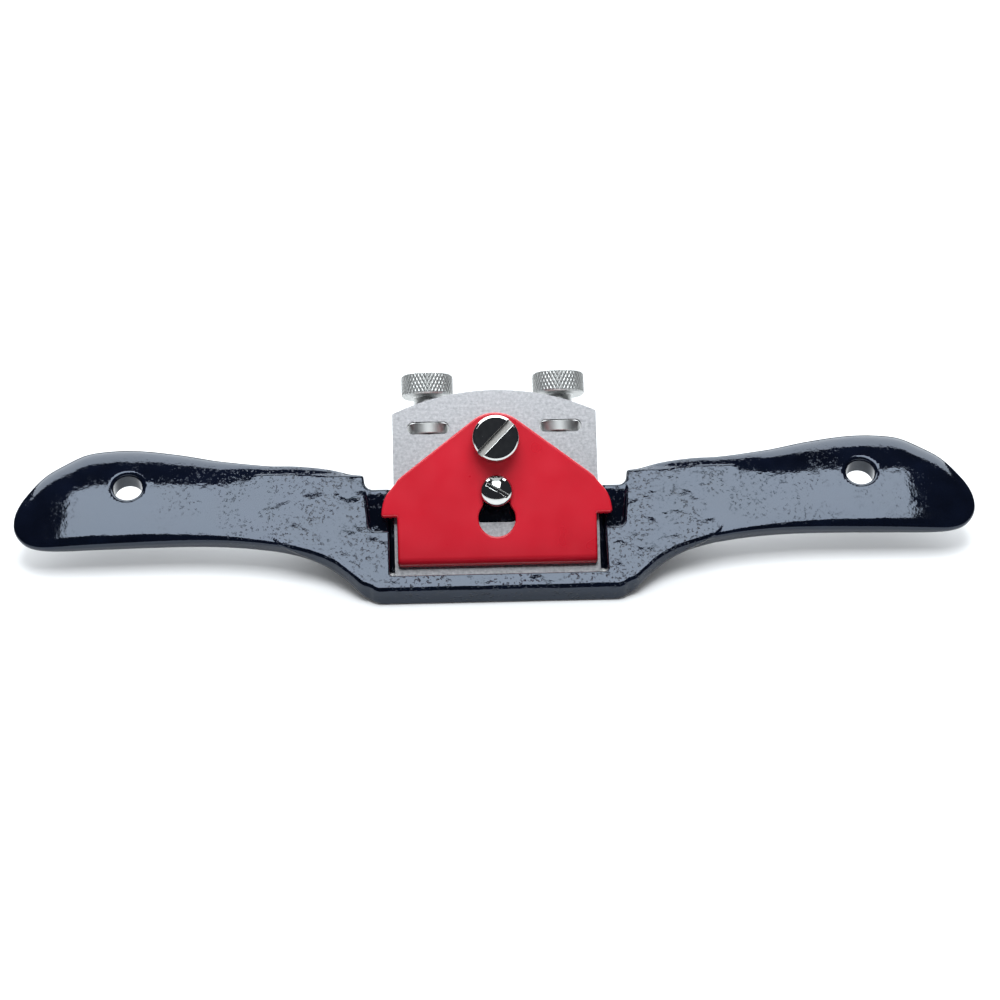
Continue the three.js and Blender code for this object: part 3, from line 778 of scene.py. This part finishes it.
def casting_enamel():
    """Gloss blue-black enamel on a cast skin: pits gather in clusters and fade on the handles."""
    f = Finish("blue_black_enamel", Metallic=0.0, IOR=1.58, Specular_Tint=(0.72, 0.83, 1.0, 1))
    f.feed("Base Color", f.ramp(f.noise(9, 3), [
        (0.3, (0.0012, 0.0020, 0.0055)), (0.7, (0.0025, 0.0042, 0.0115)),
    ]))
    f.feed("Roughness", f.ramp(f.noise(2.4, 3), [(0.35, 0.04), (0.75, 0.10)]))
    near_middle = f.ramp(f.by_reach(38, 100), [(0.0, 0.04), (0.45, 0.16), (1.0, 1.0)])
    clusters = f.ramp(f.noise(8, 2), [(0.40, 0.05), (0.58, 1.0)])
    pits = f.ramp(f.noise(0.9, 3, 0.6), [(0.33, 0.0), (0.42, 1.0)])
    grain = f.ramp(f.noise(0.5, 2, 0.5), [(0.3, 0.0), (0.7, 1.0)])
    peel = f.bump(f.noise(2.6, 3), 0.07, 0.7)
    pitted = f.bump(f.multiply(pits, f.multiply(clusters, near_middle)), 0.15, 1.0, peel)
    f.bump(f.multiply(grain, near_middle), 0.009, 1.0, pitted)
    return f.material


def machined_iron():
    """The ground sole: bare grey iron with fine lines along the tool."""
    f = Finish("machined_iron", Metallic=1.0)
    f.feed("Base Color", f.ramp(f.noise(5, 4), [
        (0.3, (0.30, 0.30, 0.31)), (0.7, (0.42, 0.42, 0.43)),
    ]))
    lines = f.noise(0.35, 3, 0.6, stretch=(40, 1, 1))
    f.feed("Roughness", f.ramp(lines, [(0.3, 0.30), (0.7, 0.48)]))
    f.bump(lines, 0.012, 0.6)
    return f.material


def red_enamel():
    """Gloss red enamel, a little uneven, over a smooth casting."""
    f = Finish(
        "red_enamel", place_of(CUTTER_FRAME), Metallic=0.0, IOR=1.5,
        Coat_Weight=0.3, Coat_Roughness=0.12,
    )
    f.feed("Base Color", f.ramp(f.noise(12, 1), [
        (0.2, (0.54, 0.005, 0.018)), (0.8, (0.62, 0.007, 0.024)),
    ]))
    f.feed("Roughness", f.ramp(f.noise(6, 1), [(0.2, 0.26), (0.8, 0.34)]))
    peel = f.bump(f.noise(3.2, 2), 0.03, 0.4)
    f.bump(f.noise(0.8, 2), 0.006, 0.5, peel)
    return f.material


def ground_steel():
    """Surface-ground tool steel: mottled, with fine grinding lines across the cutter."""
    f = Finish("ground_steel", place_of(CUTTER_FRAME), Metallic=1.0)
    mottle = f.noise(0.8, 4, 0.65)
    lines = f.noise(0.3, 3, 0.65, stretch=(9, 1, 1))
    tone = f.ramp(mottle, [(0.32, (0.40, 0.40, 0.42)), (0.68, (0.62, 0.62, 0.635))])
    streak = f.ramp(lines, [(0.3, 0.84), (0.7, 1.0)])
    f.feed("Base Color", f.multiply(tone, streak))
    f.feed("Roughness", f.ramp(mottle, [(0.3, 0.36), (0.7, 0.50)]))
    f.bump(lines, 0.02, 0.8)
    return f.material


def nickel_plate(name, place, roughness=(0.08, 0.16), tone=0.66):
    """Nickel plate over turned steel, with a fine grain and handling haze."""
    f = Finish(name, place, Metallic=1.0)
    dull = (tone - 0.04, tone - 0.03, tone - 0.04)
    bright = (tone + 0.03, tone + 0.04, tone + 0.03)
    f.feed("Base Color", f.ramp(f.noise(3, 3), [(0.3, dull), (0.7, bright)]))
    f.feed("Roughness", f.ramp(f.noise(1.2, 3), [(0.3, roughness[0]), (0.75, roughness[1])]))
    f.bump(f.noise(0.3, 2), 0.0015, 0.5)
    return f.material


def milled_steel(place):
    """The floor and walls of a milled slot: bright, with the cutter's marks along it."""
    f = Finish("milled_steel", place, Metallic=1.0)
    marks = f.noise(0.25, 3, 0.6, stretch=(1, 1, 6))
    f.feed("Base Color", f.ramp(marks, [(0.3, (0.34, 0.33, 0.31)), (0.7, (0.52, 0.51, 0.49))]))
    f.feed("Roughness", f.ramp(marks, [(0.3, 0.34), (0.7, 0.50)]))
    f.bump(marks, 0.01, 0.6)
    return f.material


# ---- the tool ------------------------------------------------------------------------------
def new_piece(name, mesh, node, body, slot, *materials):
    """Puts a finished mesh in the scene in place of its CAD node."""
    for material in materials:
        mesh.materials.append(material)
    piece = bpy.data.objects.new(name, mesh)
    bpy.context.scene.collection.objects.link(piece)
    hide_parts(node)
    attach(piece, body)


def make_casting():
    """The body casting, meshed more coarsely along the handles, with its sole ground bare."""
    fine_half = np.arange(CASTING_STEP / 2, FINE_TO, CASTING_STEP)
    coarse_half = np.arange(COARSE_FROM, COARSE_TO, HANDLE_STEP)
    half = np.concatenate([fine_half, coarse_half])
    axes = [
        np.concatenate([-half[::-1], half]),
        spread(*CASTING_T, CASTING_STEP), spread(*CASTING_N, CASTING_STEP),
    ]
    mesh = field_mesh("casting", casting_field, axes, FACE_FRAME)
    new_piece(
        "body_casting_skin", mesh, "body_casting", "casting", "casting_enamel",
        casting_enamel(), machined_iron(),
    )
    places = np.empty(len(mesh.vertices) * 3)
    mesh.vertices.foreach_get("co", places)
    on_sole = places.reshape(-1, 3)[:, 2] < SOLE_SKIN * MM
    for polygon in mesh.polygons:
        polygon.material_index = int(on_sole[list(polygon.vertices)].all())


def make_blade():
    """The cutter."""
    new_piece(
        "cutter_blade_skin", blade_mesh("cutter"), "cutter_blade", "cutter", "ground_steel",
        ground_steel(),
    )


def make_cap():
    """The lever cap."""
    axes = [spread(*span, CAP_STEP) for span in (CAP_X, CAP_S, CAP_C)]
    mesh = field_mesh("lever_cap", cap_field, axes, CUTTER_FRAME)
    new_piece("lever_cap_skin", mesh, "lever_cap", "cap", "cap_enamel", red_enamel())


def screw_mesh(name, field, place, head, low, high, step):
    """The mesh of a screw's field, sampled a little past its head and its ends."""
    reach = head + MARGIN
    axes = [spread(-reach, reach, step), spread(-reach, reach, step), spread(low, high, step)]
    return field_mesh(name, field, axes, place)


def make_cap_screw():
    """The screw that holds the lever cap."""
    place = CUTTER_FRAME @ Matrix.Translation((0, CAP_SCREW["s"], 0))
    mesh = screw_mesh(
        "cap_screw_skin", cap_screw_field, place, CAP_SCREW["head"], CAP_SCREW["tip"] - MARGIN,
        CAP_SCREW_SEAT + CAP_SCREW["height"] + MARGIN, CAP_SCREW_STEP,
    )
    new_piece(
        "cap_screw_skin", mesh, "lever_cap_screw", "cap_screw", "nickel_plate",
        nickel_plate("cap_screw_nickel", place_of(place), (0.06, 0.10), 0.58),
    )


def make_thumb_screw():
    """The thumb screw, with its slot left as it was milled."""
    place = CUTTER_FRAME @ Matrix.Translation((0, THUMB["s"], 0))
    mesh = screw_mesh(
        "thumb_screw_skin", thumb_screw_field, place, THUMB["head"], 0.0,
        THUMB["high"] + MARGIN, THUMB_STEP,
    )
    new_piece(
        "thumb_screw_skin", mesh, "lever_cap_thumb_screw", "thumb_screw", "nickel_plate",
        nickel_plate("thumb_screw_nickel", place_of(place), (0.06, 0.10), 0.58),
        milled_steel(place_of(place)),
    )
    into_frame = place.inverted()
    for polygon in mesh.polygons:
        at = into_frame @ (polygon.center / MM)
        across, depth = slot_across(at.x, at.y, THUMB_SLOT), THUMB["high"] - at.z
        between_walls = across < THUMB_SLOT["width"] / 2 + SLOT_WALL_SKIN
        below_rim = SLOT_FLOOR_SKIN < depth < THUMB_SLOT["depth"] + SLOT_FLOOR_SKIN
        polygon.material_index = int(between_walls and below_rim)


def make_nuts_and_studs():
    """The two adjusting nuts and the studs they turn on."""
    for word, side in (("left", -1), ("right", 1)):
        place = place_of(stud_line(side))
        new_piece(
            f"{word}_nut_skin", nut_mesh(f"{word}_nut", side), f"{word}_adjusting_nut",
            f"{word}_nut", "nickel_plate",
            nickel_plate(f"{word}_nut_nickel", place, (0.42, 0.54), 0.57),
        )
        new_piece(
            f"{word}_stud_skin", stud_mesh(f"{word}_stud", side), f"{word}_adjusting_stud",
            "casting", "nickel_plate", nickel_plate(f"{word}_stud_nickel", place),
        )


# ---- studio, in metres ---------------------------------------------------------------------
CAMERA_ELEVATION = math.radians(36)
CAMERA_AZIMUTH = math.radians(-2.13)
CAMERA_DISTANCE = 0.80
CAMERA_LENS = 109.2
CAMERA_TARGET = Vector((0.0010, -0.004, 0.0145))

OVERHEAD = dict(place=(0, -0.075, 0.70), target=(0, -0.075, 0), size=(0.49, 0.47), radiance=6.6)
BEHIND = dict(place=(0, 0.72, 0.52), target=(0, 0, 0.02), size=(1.4, 0.72), radiance=4.2)
LIGHT_COLOUR = (0.93, 0.97, 1.0)
ROOM_IN_REFLECTIONS = (0.03, 0.032, 0.038, 1)
ROOM_ELSEWHERE = (0.40, 0.41, 0.42, 1)
FLOOR_HALF, FLOOR_LEVEL = 3.0, -0.2 * MM


def make_camera():
    """The camera, in front of the tool, above it and a little to one side."""
    data = bpy.data.cameras.new("camera")
    data.lens = CAMERA_LENS
    camera = bpy.data.objects.new("camera", data)
    back = Vector((0, -math.cos(CAMERA_ELEVATION), math.sin(CAMERA_ELEVATION)))
    back.rotate(Matrix.Rotation(CAMERA_AZIMUTH, 3, "Z"))
    camera.location = CAMERA_TARGET + back * CAMERA_DISTANCE
    camera.rotation_euler = (-back).to_track_quat("-Z", "Y").to_euler()
    bpy.context.scene.collection.objects.link(camera)
    bpy.context.scene.camera = camera


def make_light(name, place, target, size, radiance):
    """A soft rectangular light of a given radiance, aimed at target."""
    data = bpy.data.lights.new(name, "AREA")
    data.shape = "RECTANGLE"
    data.size, data.size_y = size
    data.energy = radiance * math.pi * size[0] * size[1]
    data.color = LIGHT_COLOUR
    light = bpy.data.objects.new(name, data)
    light.location = place
    aim = Vector(target) - Vector(place)
    light.rotation_euler = aim.to_track_quat("-Z", "Y").to_euler()
    bpy.context.scene.collection.objects.link(light)


def make_surroundings():
    """A pale room that fills the shadows, with the dark of the room left in the reflections."""
    world = bpy.data.worlds.new("studio")
    world.use_nodes = True
    tree = world.node_tree
    dark = tree.nodes["Background"]
    dark.inputs["Color"].default_value = ROOM_IN_REFLECTIONS
    pale = tree.nodes.new("ShaderNodeBackground")
    pale.inputs["Color"].default_value = ROOM_ELSEWHERE
    ray = tree.nodes.new("ShaderNodeLightPath")
    blend = tree.nodes.new("ShaderNodeMixShader")
    tree.links.new(ray.outputs["Is Glossy Ray"], blend.inputs["Fac"])
    tree.links.new(pale.outputs["Background"], blend.inputs[1])
    tree.links.new(dark.outputs["Background"], blend.inputs[2])
    tree.links.new(blend.outputs["Shader"], tree.nodes["World Output"].inputs["Surface"])
    bpy.context.scene.world = world


def make_floor():
    """A sheet of white paper, just below the tool."""
    corners = ((-1, -1), (1, -1), (1, 1), (-1, 1))
    verts = [(x * FLOOR_HALF, y * FLOOR_HALF, FLOOR_LEVEL) for x, y in corners]
    mesh = bpy.data.meshes.new("floor")
    mesh.from_pydata(verts, [], [(0, 1, 2, 3)])
    floor = bpy.data.objects.new("floor", mesh)
    bpy.context.scene.collection.objects.link(floor)
    paper = Finish("paper", Roughness=0.9)
    paper.feed("Base Color", paper.ramp(paper.noise(60, 2), [
        (0.3, (0.90, 0.90, 0.90)), (0.7, (0.92, 0.92, 0.92)),
    ]))
    mesh.materials.append(paper.material)


def make_studio():
    """The floor, the room and the two lights."""
    bpy.context.scene.view_settings.view_transform = "Standard"
    make_floor()
    make_surroundings()
    make_light("overhead", **OVERHEAD)
    make_light("behind", **BEHIND)


make_casting()
make_blade()
make_cap()
make_cap_screw()
make_thumb_screw()
make_nuts_and_studs()
make_camera()
make_studio()
